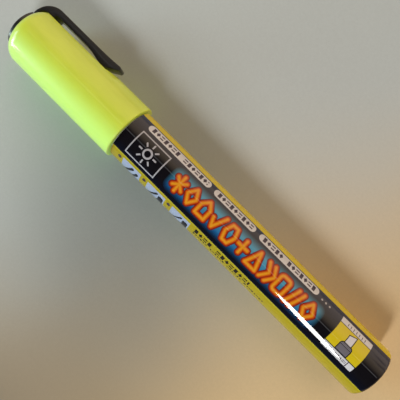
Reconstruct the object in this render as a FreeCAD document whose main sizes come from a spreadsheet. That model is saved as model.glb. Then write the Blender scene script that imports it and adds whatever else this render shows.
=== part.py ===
import FreeCAD, Part
import math
import os
import Sketcher
from types import SimpleNamespace

# Valve-action marker with a chisel nib, shown with its cap on.
#
# Frame: the origin is the centre of the flat face on the cap's closed end. +X runs along the pen
# from the cap to the tail, +Y points to the pocket clip and +Z is up when the pen lies clip to one
# side. All sizes are millimetres. Every revolved piece has the pen's axis as its own axis.

DIMENSIONS = [
    # outside: cap
    ("cap_length", 43.75, "closed end to open rim"),
    ("cap_rim_wall", 1.62, "side wall at the open rim"),
    ("cap_taper", 0.13, "how much the outer radius narrows towards the closed end"),
    ("cap_round", 3.8, "rounding of the closed end"),
    ("cap_end_wall", 1.5, "wall of the closed end"),
    ("cap_step", 0.2, "radial step where the bore narrows for the liner"),
    ("cap_rim_round", 0.35, "outer edge of the open rim"),
    ("cap_gap", 0.3, "open rim to the front of the barrel"),
    ("clip_land_depth", 0.87, "flat under the clip, below the cap's end radius"),
    ("clip_land_end", 26.5, "closed end to the far end of that flat"),
    ("clip_land_ramp", 4.0, "length of its run-out"),
    # outside: crown and clip
    ("crown_proud", 1.0, "thickness of the crown's disc"),
    ("crown_round", 0.35, "outer edge of its face"),
    ("crown_inset", 2.6, "edge of the crown's disc, in from the cap's end radius"),
    ("crown_plug_radius", 3.0, "plug through the cap's end wall"),
    ("crown_segment", 1.27, "height of the segment cut from the disc for the clip"),
    ("clip_length", 30.0, "crown's face to the free tip"),
    ("clip_rise", 2.37, "cap's end radius to the outer face of the arm"),
    ("clip_bend", 6.0, "outer radius of the bend"),
    ("clip_hug", 2.1, "inner radius round the cap's end"),
    ("clip_soft", 2.4, "radius of the two slight bends in the arm"),
    ("clip_arm", 2.04, "thickness of the arm"),
    ("clip_foot_end", 5.6, "crown's face to the end of the thick foot"),
    ("clip_root_width", 6.2, "width at the crown"),
    ("clip_tip_width", 4.7, "width at the tip"),
    ("clip_pad", 25.0, "crown's face to the middle of the gripping pad"),
    ("clip_pad_back", 6.0, "length of the pad's slope towards the crown"),
    ("clip_tip_edge", 1.05, "thickness of the tip"),
    ("clip_grip", 0.9, "rounding of the pad"),
    ("clip_flare", 0.35, "outward flare at the tip"),
    ("clip_gap", 0.12, "clip to cap and to crown"),
    # outside: barrel
    ("barrel_length", 95.4, "front face to tail face, without the film"),
    ("barrel_radius", 7.9, "outside"),
    ("barrel_wall", 1.3, "side wall"),
    ("tail_round", 1.0, "outer edge of the tail"),
    ("tail_lip", 1.6, "ring in the tail, in from the bore"),
    ("tail_wall", 4.0, "thickness of the ring round that hole"),
    ("film", 0.1, "thickness of the printed sleeve"),
    ("film_start", 0.05, "front of the barrel to the edge of the sleeve"),
    ("film_land", 0.6, "hole in the tail to the edge of the sleeve"),
    # inside: nose
    ("neck_step", 0.5, "barrel's outside down to the neck that the cap slides on"),
    ("neck_length", 14.5, "front of the barrel to the end of the neck"),
    ("shoulder_length", 2.6, "from the neck down to the nose"),
    ("shoulder_edge", 0.6, "height of the bevel between shoulder and neck"),
    ("nose_wall", 0.4, "slim end of the collar, round the guide bush"),
    ("nose_reach", 4.9, "shoulder to the tip of the collar"),
    ("collar_plug", 9.0, "depth of the collar inside the barrel"),
    ("slide_fit", 0.08, "radial clearance of a sliding fit"),
    ("nib_radius", 3.0, "round stock of the nib"),
    ("nib_out", 7.5, "nib past the tip of the collar"),
    ("nib_slant", 3.6, "length of the slanted cut"),
    ("nib_flat", 0.8, "depth of each of its two flats"),
    ("nib_flat_end", 5.76, "writing end to the end of the flats' run-out"),
    ("nib_seat", 3.0, "front of the barrel to the back of the nib"),
    ("guide_wall", 0.52, "wall of the nib's guide bush"),
    ("guide_lip", 1.0, "lip of the collar in front of the bush"),
    ("guide_length", 8.0, "guide bush"),
    # inside: valve
    ("chamber_gap", 0.5, "nib to the wall of the space behind it"),
    ("chamber_length", 5.0, "its length in front of the barrel's front face"),
    ("seat_depth", 1.5, "front of the barrel to the valve seat"),
    ("seat_thick", 1.5, "rubber seat"),
    ("seat_hole", 1.7, "radius of its hole"),
    ("collar_wall", 1.6, "wall of the collar behind the seat"),
    ("cage_wall", 0.8, "side wall of the valve cage"),
    ("cage_length", 11.0, "valve cage"),
    ("cage_port", 1.6, "width of its ports"),
    ("valve_cap_thick", 1.3, "perforated rear cap of the cage"),
    ("ink_hole", 0.45, "radius of its holes"),
    ("stem_radius", 1.2, "rod of the valve stem"),
    ("stem_head", 2.6, "radius of its head and poppet"),
    ("stem_head_thick", 1.0, "head"),
    ("poppet_thick", 1.2, "poppet"),
    ("stem_bevel", 0.4, "bevels on head and poppet"),
    ("stem_guide", 2.2, "spigot that centres the spring"),
    ("closed_gap", 0.05, "between faces that touch when the valve is shut"),
    ("spring_radius", 1.95, "middle of the wire"),
    ("spring_wire", 0.5, "wire diameter"),
    ("spring_turns", 6, "turns"),
    # inside: reservoir and cap
    ("seal_groove", 1.2, "length of the grooves for the rubber rings"),
    ("collar_seal_depth", 3.15, "front of the barrel to the collar's groove"),
    ("tail_seal_depth", 1.6, "inner face of the tail to the plug's groove"),
    ("seal_bite", 0.9, "depth of their grooves"),
    ("barb", 0.35, "height of the barbs on crown and tail plug"),
    ("barb_length", 1.05, "length of those barbs"),
    ("plug_recess", 0.4, "tail face to the outside of the tail plug"),
    ("plug_dish", 2.6, "radius of the dish in the tail plug"),
    ("plug_dish_depth", 0.8, "depth of that dish"),
    ("ball_radius", 3.0, "mixing ball"),
    ("ball_gap", 0.15, "ball to barrel wall and to tail plug"),
    ("liner_wall", 0.9, "cup that seals the nib"),
    ("liner_round", 1.8, "rounding of its closed end"),
    ("liner_room", 2.0, "space in front of the nib"),
    ("liner_flange", 1.2, "thickness of the flange round its mouth"),
    ("liner_overlap", 3.5, "how far the mouth reaches over the nose"),
]

GUIDE_FLUTES = 6
CAP_HOLES = 6
CAGE_PORT_CUTS = 4
FULL_TURN = 360
PAST = 1  # how far a cutting outline runs past the solid
NEAR = 1e-4  # how near counts as the same place


class Size:
    """A length written as an expression on the sheet's cells."""

    def __init__(self, text):
        self.text = text

    def __add__(self, other):
        return Size(f"({self.text} + {text_of(other)})")

    def __sub__(self, other):
        return Size(f"({self.text} - {text_of(other)})")

    def __mul__(self, other):
        return Size(f"({self.text} * {text_of(other)})")

    def __truediv__(self, other):
        return Size(f"({self.text} / {text_of(other)})")


def text_of(value):
    """An operand of a Size, as expression text."""
    return value.text if isinstance(value, Size) else str(value)


doc = FreeCAD.newDocument("ChiselMarker")
sheet = doc.addObject("Spreadsheet::Sheet", "Sizes")
for line, (alias, number, note) in enumerate(DIMENSIONS, start=1):
    sheet.set(f"A{line}", alias)
    sheet.set(f"B{line}", str(number))
    sheet.setAlias(f"B{line}", alias)
    sheet.set(f"C{line}", note)
doc.recompute()

d = SimpleNamespace(**{alias: Size(f"Sizes.{alias}") for alias, number, note in DIMENSIONS})

# Stations along the axis, all tied to the barrel's front face.
front = d.crown_proud + d.cap_length + d.cap_gap
tail = front + d.barrel_length
cap_rim = d.crown_proud + d.cap_length
cap_inside = d.crown_proud + d.cap_end_wall
neck_end = front - d.neck_length
nose_start = neck_end - d.shoulder_length
nose_tip = nose_start - d.nose_reach
guide_front = nose_tip + d.guide_lip
guide_back = guide_front + d.guide_length
nib_back = front - d.nib_seat
nib_tip = nose_tip - d.nib_out
seat_front = front + d.seat_depth
seat_back = seat_front + d.seat_thick
cage_back = seat_back + d.cage_length
liner_mouth = nose_tip + d.liner_overlap
liner_inside = nib_tip - d.liner_room
plug_inside = tail - d.tail_wall

# Radii, worked outwards from the nib and inwards from the barrel.
guide_bore = d.nib_radius + d.slide_fit
guide_radius = guide_bore + d.guide_wall
nose_radius = guide_radius + d.nose_wall
lip_bore = guide_bore + d.slide_fit
chamber_radius = d.nib_radius + d.chamber_gap
liner_bore = nose_radius + d.slide_fit
barrel_bore = d.barrel_radius - d.barrel_wall
tail_bore = barrel_bore - d.tail_lip
valve_radius = barrel_bore - d.collar_wall
cage_bore = valve_radius - d.cage_wall
spigot_radius = d.spring_radius - d.spring_wire
neck_radius = d.barrel_radius - d.neck_step
cap_bore = neck_radius + d.slide_fit
deep_bore = cap_bore - d.cap_step
cap_rim_radius = cap_bore + d.cap_rim_wall
cap_end_radius = cap_rim_radius - d.cap_taper
crown_radius = cap_end_radius - d.crown_inset
crown_cut = crown_radius - d.crown_segment
clip_height = cap_end_radius + d.clip_rise


def measure(size):
    """The number that a Size stands for."""
    return float(sheet.evalExpression(text_of(size)))


def origin_plane(body, role):
    """One of a body's own origin planes."""
    return next(plane for plane in body.Origin.OriginFeatures if plane.Role == role)


def new_body(name):
    """An empty body whose label names its file."""
    body = doc.addObject("PartDesign::Body", name)
    body.Label = name
    return body


def new_sketch(body, name, role):
    """A sketch on one of the body's origin planes."""
    sketch = body.newObject("Sketcher::SketchObject", name)
    sketch.AttachmentSupport = [(origin_plane(body, role), "")]
    sketch.MapMode = "FlatFace"
    return sketch


def tie(sketch, kind, ends, size, name):
    """Adds a named constraint whose value follows a Size."""
    index = sketch.addConstraint(Sketcher.Constraint(kind, *ends, measure(size)))
    sketch.renameConstraint(index, name)
    sketch.setExpression(f"Constraints.{name}", size.text)


def tie_point(sketch, place, geometry, vertex):
    """Ties a vertex of the sketch to a place given by two Sizes; 0 lies on an axis."""
    for kind, value, axis in (("DistanceX", place[0], -2), ("DistanceY", place[1], -1)):
        if isinstance(value, Size):
            tie(sketch, kind, (-1, 1, geometry, vertex), value, f"{kind}_{geometry}")
        else:
            sketch.addConstraint(Sketcher.Constraint("PointOnObject", geometry, vertex, axis))


def outline(sketch, points):
    """Draws a closed outline of straight lines through points given as pairs of Sizes."""
    places = [FreeCAD.Vector(*(measure(value) for value in point), 0) for point in points]
    for index, place in enumerate(places):
        sketch.addGeometry(Part.LineSegment(place, places[(index + 1) % len(places)]), False)
    for index, point in enumerate(points):
        following = (index + 1) % len(points)
        sketch.addConstraint(Sketcher.Constraint("Coincident", index, 2, following, 1))
        tie_point(sketch, point, index, 1)


def ring_section(sketch, across, up, radius):
    """Draws a circle whose centre and radius are Sizes; a centre at 0 lies on an axis."""
    centre = FreeCAD.Vector(measure(across), measure(up), 0)
    sketch.addGeometry(Part.Circle(centre, FreeCAD.Vector(0, 0, 1), measure(radius)), False)
    tie_point(sketch, (across, up), 0, 3)
    tie(sketch, "Radius", (0,), radius, "ring_radius")


def spin(body, sketch, kind="Revolution"):
    """Revolves a sketch once round the pen's axis."""
    feature = body.newObject(f"PartDesign::{kind}", f"{body.Name}_{kind.lower()}")
    feature.Profile = sketch
    feature.ReferenceAxis = (sketch, ["H_Axis"])
    feature.Angle = FULL_TURN
    doc.recompute()
    return feature


def turned(name, points):
    """A body turned from an outline of (distance along the axis, radius) pairs."""
    body = new_body(name)
    sketch = new_sketch(body, f"{name}_section", "XY_Plane")
    outline(sketch, points)
    spin(body, sketch)
    return body


def fillet(body, name, radius, edges):
    """Adds a fillet of one radius to the named edges of the body as it stands."""
    base = body.Tip
    feature = body.newObject("PartDesign::Fillet", name)
    feature.Base = (base, edges)
    feature.setExpression("Radius", text_of(radius))
    doc.recompute()


def rounded(body, name, radius, rims):
    """Rounds the circular edges that lie at the given (distance along, radius) places."""
    wanted = [(measure(along), measure(out)) for along, out in rims]
    edges = []
    for number, edge in enumerate(body.Shape.Edges, start=1):
        if not isinstance(edge.Curve, Part.Circle):
            continue
        here = (edge.Curve.Center.x, edge.Curve.Radius)
        if any(math.dist(here, place) < NEAR for place in wanted):
            edges.append(f"Edge{number}")
    fillet(body, name, radius, edges)


def cut_through(body, sketch, name, half):
    """Pockets a sketch on both sides of its plane, half being the distance to each side."""
    pocket = body.newObject("PartDesign::Pocket", name)
    pocket.Profile = sketch
    pocket.Midplane = True
    pocket.setExpression("Length", (half * 2).text)
    doc.recompute()
    return pocket


def repeat_round(body, sketch, axis, name, pocket, count):
    """Repeats a pocket evenly round the pen's axis, which is one of its sketch's axes."""
    pattern = body.newObject("PartDesign::PolarPattern", name)
    pattern.Originals = [pocket]
    pattern.Axis = (sketch, [axis])
    pattern.Occurrences = count
    pattern.Angle = FULL_TURN
    body.Tip = pattern
    doc.recompute()


def drill_ring(body, name, out, radius, count):
    """Cuts a ring of round holes along the axis, their centres at one distance from it."""
    sketch = new_sketch(body, f"{name}_section", "YZ_Plane")
    ring_section(sketch, out, 0, radius)
    pocket = body.newObject("PartDesign::Pocket", name)
    pocket.Profile = sketch
    pocket.Type = "ThroughAll"
    pocket.Midplane = True
    doc.recompute()
    repeat_round(body, sketch, "N_Axis", f"{name}s", pocket, count)


# --- Cap -----------------------------------------------------------------------------------------

def make_cap_shell():
    """Hollow cap with a rounded closed end, a hole for the crown and a flat under the clip."""
    name = "cap_shell"
    closed = d.crown_proud
    body = turned(name, [
        (closed, d.crown_plug_radius),
        (closed, cap_end_radius),
        (cap_rim, cap_rim_radius),
        (cap_rim, cap_bore),
        (liner_mouth, cap_bore),
        (liner_mouth, deep_bore),
        (cap_inside, deep_bore),
        (cap_inside, d.crown_plug_radius),
    ])
    rounded(body, "cap_end_round", d.cap_round, [(closed, cap_end_radius)])
    rounded(body, "cap_inner_round", d.cap_round - d.cap_end_wall, [(cap_inside, deep_bore)])
    rounded(body, "cap_rim_round", d.cap_rim_round, [(cap_rim, cap_rim_radius)])
    land = cap_end_radius - d.clip_land_depth
    land_stop = d.crown_proud + d.clip_land_end
    sketch = new_sketch(body, "clip_land_section", "XY_Plane")
    outline(sketch, [
        (0, land),
        (land_stop, land),
        (land_stop + d.clip_land_ramp, cap_rim_radius),
        (land_stop + d.clip_land_ramp, cap_rim_radius + PAST),
        (0, cap_rim_radius + PAST),
    ])
    cut_through(body, sketch, "clip_land", cap_end_radius)


def make_inner_cap():
    """Cup pressed into the cap, which seals on the collar's nose and keeps the nib wet."""
    outside = liner_bore + d.liner_wall
    closed = liner_inside - d.liner_wall
    flange_front = liner_mouth - d.liner_flange
    body = turned("inner_cap", [
        (closed, 0),
        (closed, outside),
        (flange_front, outside),
        (flange_front, deep_bore),
        (liner_mouth, deep_bore),
        (liner_mouth, liner_bore),
        (liner_inside, liner_bore),
        (liner_inside, 0),
    ])
    rounded(body, "inner_cap_round", d.liner_round, [(closed, outside)])


def make_crown():
    """Disc on the cap's closed end, held by a barbed plug, with one edge cut for the clip."""
    barb_out = d.crown_plug_radius + d.barb
    barb_end = cap_inside + d.barb_length
    body = turned("crown", [
        (0, 0),
        (0, crown_radius),
        (d.crown_proud, crown_radius),
        (d.crown_proud, d.crown_plug_radius),
        (cap_inside, d.crown_plug_radius),
        (cap_inside, barb_out),
        (cap_inside + d.barb, barb_out),
        (barb_end, d.crown_plug_radius - d.barb),
        (barb_end, 0),
    ])
    rounded(body, "crown_round", d.crown_round, [(0, crown_radius)])
    sketch = new_sketch(body, "crown_cut_section", "XY_Plane")
    outline(sketch, [
        (0, crown_cut),
        (d.crown_proud, crown_cut),
        (d.crown_proud, crown_radius + PAST),
        (0, crown_radius + PAST),
    ])
    cut_through(body, sketch, "crown_cut", crown_radius)


def make_clip():
    """Pocket clip: a thin neck at the crown, a foot round the cap's end, an arm and a pad."""
    body = new_body("clip")
    neck_back = d.crown_proud - d.clip_gap
    root = crown_cut + d.clip_gap
    land = cap_end_radius - d.clip_land_depth + d.clip_gap
    arm_in = clip_height - d.clip_arm
    tip_out = clip_height + d.clip_flare
    sketch = new_sketch(body, "clip_section", "XY_Plane")
    outline(sketch, [
        (0, root),
        (0, clip_height),
        (d.clip_pad, clip_height),
        (d.clip_length, tip_out),
        (d.clip_length + d.clip_flare, tip_out - d.clip_tip_edge),
        (d.clip_pad + d.clip_tip_edge, land),
        (d.clip_pad - d.clip_tip_edge, land),
        (d.clip_pad - d.clip_pad_back, arm_in),
        (d.clip_foot_end, arm_in),
        (d.clip_foot_end - d.clip_flare, land),
        (neck_back, land),
        (neck_back, root),
    ])
    pad = body.newObject("PartDesign::Pad", "clip_pad")
    pad.Profile = sketch
    pad.Midplane = True
    pad.setExpression("Length", d.clip_root_width.text)
    doc.recompute()
    bends = [
        ("clip_bend", d.clip_bend, [(0, clip_height)]),
        ("clip_hug", d.clip_hug, [(neck_back, land)]),
        ("clip_soft", d.clip_soft, [(d.clip_pad - d.clip_pad_back, arm_in),
                                    (d.clip_pad, clip_height)]),
        ("clip_grip", d.clip_grip, [(d.clip_pad + d.clip_tip_edge, land),
                                    (d.clip_pad - d.clip_tip_edge, land)]),
    ]
    for name, radius, corners in bends:
        rounded_corners(body, name, radius, corners)
    taper_clip(body)


def rounded_corners(body, name, radius, corners):
    """Rounds the straight edges across the clip that pass through the given corners."""
    wanted = [(measure(along), measure(out)) for along, out in corners]
    edges = []
    for number, edge in enumerate(body.Shape.Edges, start=1):
        start, end = (vertex.Point for vertex in (edge.Vertexes[0], edge.Vertexes[-1]))
        across = abs(start.z - end.z) > NEAR and math.dist((start.x, start.y), (end.x, end.y)) < NEAR
        if across and any(math.dist((start.x, start.y), place) < NEAR for place in wanted):
            edges.append(f"Edge{number}")
    fillet(body, name, radius, edges)


def taper_clip(body):
    """Trims both sides of the clip so that it narrows from the crown to the tip."""
    root = d.clip_root_width / 2
    tip = d.clip_tip_width / 2
    far = d.clip_length + d.clip_arm
    for side, name in ((1, "clip_side_up"), (-1, "clip_side_down")):
        sketch = new_sketch(body, f"{name}_section", "XZ_Plane")
        outline(sketch, [
            (d.clip_bend, root * side),
            (far, tip * side),
            (far, (root + PAST) * side),
            (d.clip_bend, (root + PAST) * side),
        ])
        cut_through(body, sketch, name, clip_height + d.clip_arm)


# --- Barrel --------------------------------------------------------------------------------------

def make_barrel():
    """Reservoir tube, open at the front and closed at the tail but for the plug's hole."""
    body = turned("barrel", [
        (front, barrel_bore),
        (front, d.barrel_radius),
        (tail, d.barrel_radius),
        (tail, tail_bore),
        (plug_inside, tail_bore),
        (plug_inside, barrel_bore),
    ])
    rounded(body, "barrel_tail_round", d.tail_round, [(tail, d.barrel_radius)])


def make_label_sleeve():
    """Printed film shrunk over the barrel and in over the edge of the tail."""
    outside = d.barrel_radius + d.film
    start = front + d.film_start
    film_edge = tail_bore + d.film_land
    body = turned("label_sleeve", [
        (start, d.barrel_radius),
        (start, outside),
        (tail + d.film, outside),
        (tail + d.film, film_edge),
        (tail, film_edge),
        (tail, d.barrel_radius),
    ])
    rounded(body, "sleeve_inner_round", d.tail_round, [(tail, d.barrel_radius)])
    rounded(body, "sleeve_outer_round", d.tail_round + d.film, [(tail + d.film, outside)])


def make_tail_plug():
    """Stopper pressed into the tail, with a groove for its seal and a barb inside the barrel."""
    barb = tail_bore + d.barb
    inner = plug_inside - d.barb_length
    face = tail - d.plug_recess
    groove = plug_inside + d.tail_seal_depth
    groove_end = groove + d.seal_groove
    dish = face - d.plug_dish_depth
    turned("tail_plug", [
        (inner, 0),
        (inner, tail_bore - d.barb),
        (plug_inside - d.barb, barb),
        (plug_inside, barb),
        (plug_inside, tail_bore),
        (groove, tail_bore),
        (groove, tail_bore - d.seal_bite),
        (groove_end, tail_bore - d.seal_bite),
        (groove_end, tail_bore),
        (face, tail_bore),
        (face, d.plug_dish),
        (dish, d.plug_dish - d.plug_recess),
        (dish, 0),
    ])


def rubber_ring(name, along, outside):
    """A rubber ring squeezed into its groove up to the wall at the given outside radius."""
    body = new_body(name)
    sketch = new_sketch(body, f"{name}_section", "XY_Plane")
    radius = d.seal_bite / 2
    ring_section(sketch, along, outside - radius, radius)
    spin(body, sketch)


# --- Nose and nib --------------------------------------------------------------------------------

def make_collar():
    """Front holder: plug in the barrel, neck for the cap, rounded shoulder and slim nose."""
    plug_end = front + d.collar_plug
    groove = front + d.collar_seal_depth
    groove_end = groove + d.seal_groove
    body = turned("collar", [
        (nose_tip, lip_bore),
        (nose_tip, nose_radius),
        (nose_start, nose_radius),
        (neck_end, neck_radius - d.shoulder_edge),
        (neck_end + d.shoulder_edge, neck_radius),
        (front, neck_radius),
        (front, barrel_bore),
        (groove, barrel_bore),
        (groove, barrel_bore - d.seal_bite),
        (groove_end, barrel_bore - d.seal_bite),
        (groove_end, barrel_bore),
        (plug_end, barrel_bore),
        (plug_end, valve_radius),
        (seat_front, valve_radius),
        (seat_front, chamber_radius),
        (front - d.chamber_length, chamber_radius),
        (guide_back, guide_radius),
        (guide_front, guide_radius),
        (guide_front, lip_bore),
    ])
    rounded(body, "nose_round", d.nose_wall, [(nose_tip, nose_radius)])


def make_nib_guide():
    """Bush in the nose that the nib slides in, fluted so that air can pass."""
    body = turned("nib_guide", [
        (guide_front, guide_bore),
        (guide_front, guide_radius),
        (guide_back, guide_radius),
        (guide_back, guide_bore),
    ])
    drill_ring(body, "guide_flute", guide_bore, d.guide_wall / 2, GUIDE_FLUTES)


def make_nib():
    """Felt rod ground to a chisel: two flats and one slanted cut at the writing end."""
    chisel = d.nib_radius - d.nib_flat
    body = turned("nib", [
        (nib_tip, 0),
        (nib_tip, d.nib_radius),
        (nib_back, d.nib_radius),
        (nib_back, 0),
    ])
    slant = new_sketch(body, "nib_slant_section", "XY_Plane")
    outline(slant, [
        (nib_tip - PAST, d.nib_radius + PAST),
        (nib_tip + d.nib_slant + PAST, d.nib_radius + PAST),
        (nib_tip + d.nib_slant, d.nib_radius),
        (nib_tip, d.nib_radius * -1),
        (nib_tip - PAST, d.nib_radius * -1),
    ])
    cut_through(body, slant, "nib_slant", d.nib_radius + PAST)
    for side, name in ((1, "nib_flat_up"), (-1, "nib_flat_down")):
        flat = new_sketch(body, f"{name}_section", "XZ_Plane")
        outline(flat, [
            (nib_tip - PAST, chisel * side),
            (nib_tip + d.nib_slant, chisel * side),
            (nib_tip + d.nib_flat_end, (d.nib_radius + PAST) * side),
            (nib_tip - PAST, (d.nib_radius + PAST) * side),
        ])
        cut_through(body, flat, name, d.nib_radius + PAST)


# --- Valve ---------------------------------------------------------------------------------------

def make_valve_seat():
    """Rubber washer that the poppet closes against."""
    turned("valve_seat", [
        (seat_front, d.seat_hole),
        (seat_front, valve_radius),
        (seat_back, valve_radius),
        (seat_back, d.seat_hole),
    ])


def make_valve_cage():
    """Tube behind the seat that guides the poppet, with ports that let ink in from the barrel."""
    body = turned("valve_cage", [
        (seat_back, cage_bore),
        (seat_back, valve_radius),
        (cage_back, valve_radius),
        (cage_back, cage_bore),
    ])
    port = new_sketch(body, "cage_port_section", "XZ_Plane")
    port_start = front + d.collar_plug + d.closed_gap
    port_end = cage_back - d.valve_cap_thick - d.closed_gap
    outline(port, [
        (port_start, d.cage_port / 2),
        (port_end, d.cage_port / 2),
        (port_end, d.cage_port / -2),
        (port_start, d.cage_port / -2),
    ])
    pocket = cut_through(body, port, "cage_port_cut", valve_radius + PAST)
    repeat_round(body, port, "H_Axis", "cage_ports", pocket, CAGE_PORT_CUTS)


def make_valve_cap():
    """Disc that closes the cage and carries the spring, with a spigot and a ring of holes."""
    start = cage_back - d.valve_cap_thick
    body = turned("valve_cap", [
        (start - d.stem_guide, 0),
        (start - d.stem_guide, spigot_radius),
        (start, spigot_radius),
        (start, cage_bore),
        (cage_back, cage_bore),
        (cage_back, 0),
    ])
    drill_ring(body, "cap_hole", (cage_bore + d.spring_radius) / 2, d.ink_hole, CAP_HOLES)


def make_valve_stem():
    """Stem between nib and spring: head against the nib, rod through the seat, poppet behind it."""
    head = nib_back + d.closed_gap
    head_back = head + d.stem_head_thick
    poppet = seat_back + d.closed_gap
    poppet_back = poppet + d.poppet_thick
    turned("valve_stem", [
        (head, 0),
        (head, d.stem_head),
        (head_back, d.stem_head),
        (head_back + d.stem_bevel, d.stem_radius),
        (poppet, d.stem_radius),
        (poppet, d.stem_head - d.stem_bevel),
        (poppet + d.stem_bevel, d.stem_head),
        (poppet_back, d.stem_head),
        (poppet_back, spigot_radius),
        (poppet_back + d.stem_guide, spigot_radius),
        (poppet_back + d.stem_guide, 0),
    ])


def make_valve_spring():
    """Coil spring between the poppet and the valve cap."""
    wire = measure(d.spring_wire)
    start = measure(seat_back + d.poppet_thick + d.closed_gap * 2) + wire / 2
    stop = measure(cage_back - d.valve_cap_thick - d.closed_gap) - wire / 2
    radius = measure(d.spring_radius)
    coil = Part.makeHelix((stop - start) / measure(d.spring_turns), stop - start, radius)
    begin = FreeCAD.Vector(radius, 0, 0)
    section = Part.Wire(Part.makeCircle(wire / 2, begin, FreeCAD.Vector(0, 1, 0)))
    spring = doc.addObject("Part::Feature", "valve_spring")
    spring.Label = "valve_spring"
    spring.Shape = Part.Wire(coil).makePipeShell([section], True, True)
    turn = FreeCAD.Rotation(FreeCAD.Vector(0, 1, 0), 90)
    spring.Placement = FreeCAD.Placement(FreeCAD.Vector(start, 0, 0), turn)


# --- Mixing ball ---------------------------------------------------------------------------------

def make_mixing_ball():
    """Steel ball lying at the tail end of the reservoir."""
    ball = doc.addObject("Part::Sphere", "mixing_ball")
    ball.Label = "mixing_ball"
    ball.setExpression("Radius", d.ball_radius.text)
    along = plug_inside - d.barb_length - d.ball_gap - d.ball_radius
    down = barrel_bore - d.ball_radius - d.ball_gap
    ball.setExpression("Placement.Base.x", along.text)
    ball.setExpression("Placement.Base.z", (down * -1).text)
    doc.recompute()


# --- Whole pen -----------------------------------------------------------------------------------

def main():
    """Builds every piece, checks it and writes one file for each."""
    make_cap_shell()
    make_inner_cap()
    make_crown()
    make_clip()
    make_barrel()
    make_label_sleeve()
    make_tail_plug()
    rubber_ring("tail_seal", plug_inside + d.tail_seal_depth + d.seal_groove / 2, tail_bore)
    make_collar()
    rubber_ring("collar_seal", front + d.collar_seal_depth + d.seal_groove / 2, barrel_bore)
    make_nib_guide()
    make_nib()
    make_valve_seat()
    make_valve_cage()
    make_valve_cap()
    make_valve_stem()
    make_valve_spring()
    make_mixing_ball()
    doc.recompute()

    for item in doc.Objects:
        bad = {"Invalid", "Error"} & set(item.State)
        if bad:
            raise RuntimeError(f"{item.Name} is in state {item.State}")
    kinds = ("PartDesign::Body", "Part::Sphere", "Part::Feature")
    pieces = [item for item in doc.Objects if item.TypeId in kinds]
    for piece in pieces:
        if piece.Shape.isNull() or not piece.Shape.isValid():
            raise RuntimeError(f"{piece.Label} has no valid shape")
    os.makedirs("parts", exist_ok=True)
    for piece in pieces:
        piece.Shape.exportStep(f"parts/{piece.Label}.step")
        print(f"{piece.Label:14s} {len(piece.Shape.Solids)} solid, {piece.Shape.Volume:9.2f} mm3")


main()
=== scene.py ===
"""Looks of a chisel-nib marker with a printed sleeve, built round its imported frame."""
import bpy
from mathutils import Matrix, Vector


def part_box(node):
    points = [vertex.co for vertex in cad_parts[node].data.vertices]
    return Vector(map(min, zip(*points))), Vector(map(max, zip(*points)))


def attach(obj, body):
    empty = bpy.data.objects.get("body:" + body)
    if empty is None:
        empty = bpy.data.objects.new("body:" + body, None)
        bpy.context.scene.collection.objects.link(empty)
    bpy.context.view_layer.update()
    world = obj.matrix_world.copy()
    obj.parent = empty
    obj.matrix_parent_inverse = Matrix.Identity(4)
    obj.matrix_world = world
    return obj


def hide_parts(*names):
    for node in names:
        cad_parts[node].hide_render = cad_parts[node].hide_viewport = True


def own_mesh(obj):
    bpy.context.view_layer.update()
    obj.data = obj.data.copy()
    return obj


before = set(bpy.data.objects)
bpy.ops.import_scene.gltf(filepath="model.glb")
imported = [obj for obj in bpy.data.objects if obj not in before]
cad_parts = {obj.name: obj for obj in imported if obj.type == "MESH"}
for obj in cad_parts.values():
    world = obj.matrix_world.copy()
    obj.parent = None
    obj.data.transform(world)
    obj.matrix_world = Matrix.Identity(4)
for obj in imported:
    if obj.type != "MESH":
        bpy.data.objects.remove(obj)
bpy.context.view_layer.update()

import logging
import math
from dataclasses import dataclass
from enum import Enum
from typing import Callable, Iterable, Optional, Sequence, Union

import bmesh
from mathutils import Matrix, Vector

LOG = logging.getLogger("marker")
MM = 0.001
Colour = tuple[float, float, float]
Point = tuple[float, float]
Place = tuple[float, float, float]
WHITE: Colour = (1.0, 1.0, 1.0)
X_AXIS: Place = (1.0, 0.0, 0.0)
Y_AXIS: Place = (0.0, 1.0, 0.0)
Z_AXIS: Place = (0.0, 0.0, 1.0)


# --- Shader arithmetic -----------------------------------------------------------------------

class Field:
    """Something that varies over a surface: one output socket of a material's node tree."""

    def __init__(self, graph: "Graph", socket: bpy.types.NodeSocket) -> None:
        """Keeps the socket and the graph it belongs to."""
        self.graph = graph
        self.socket = socket


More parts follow.
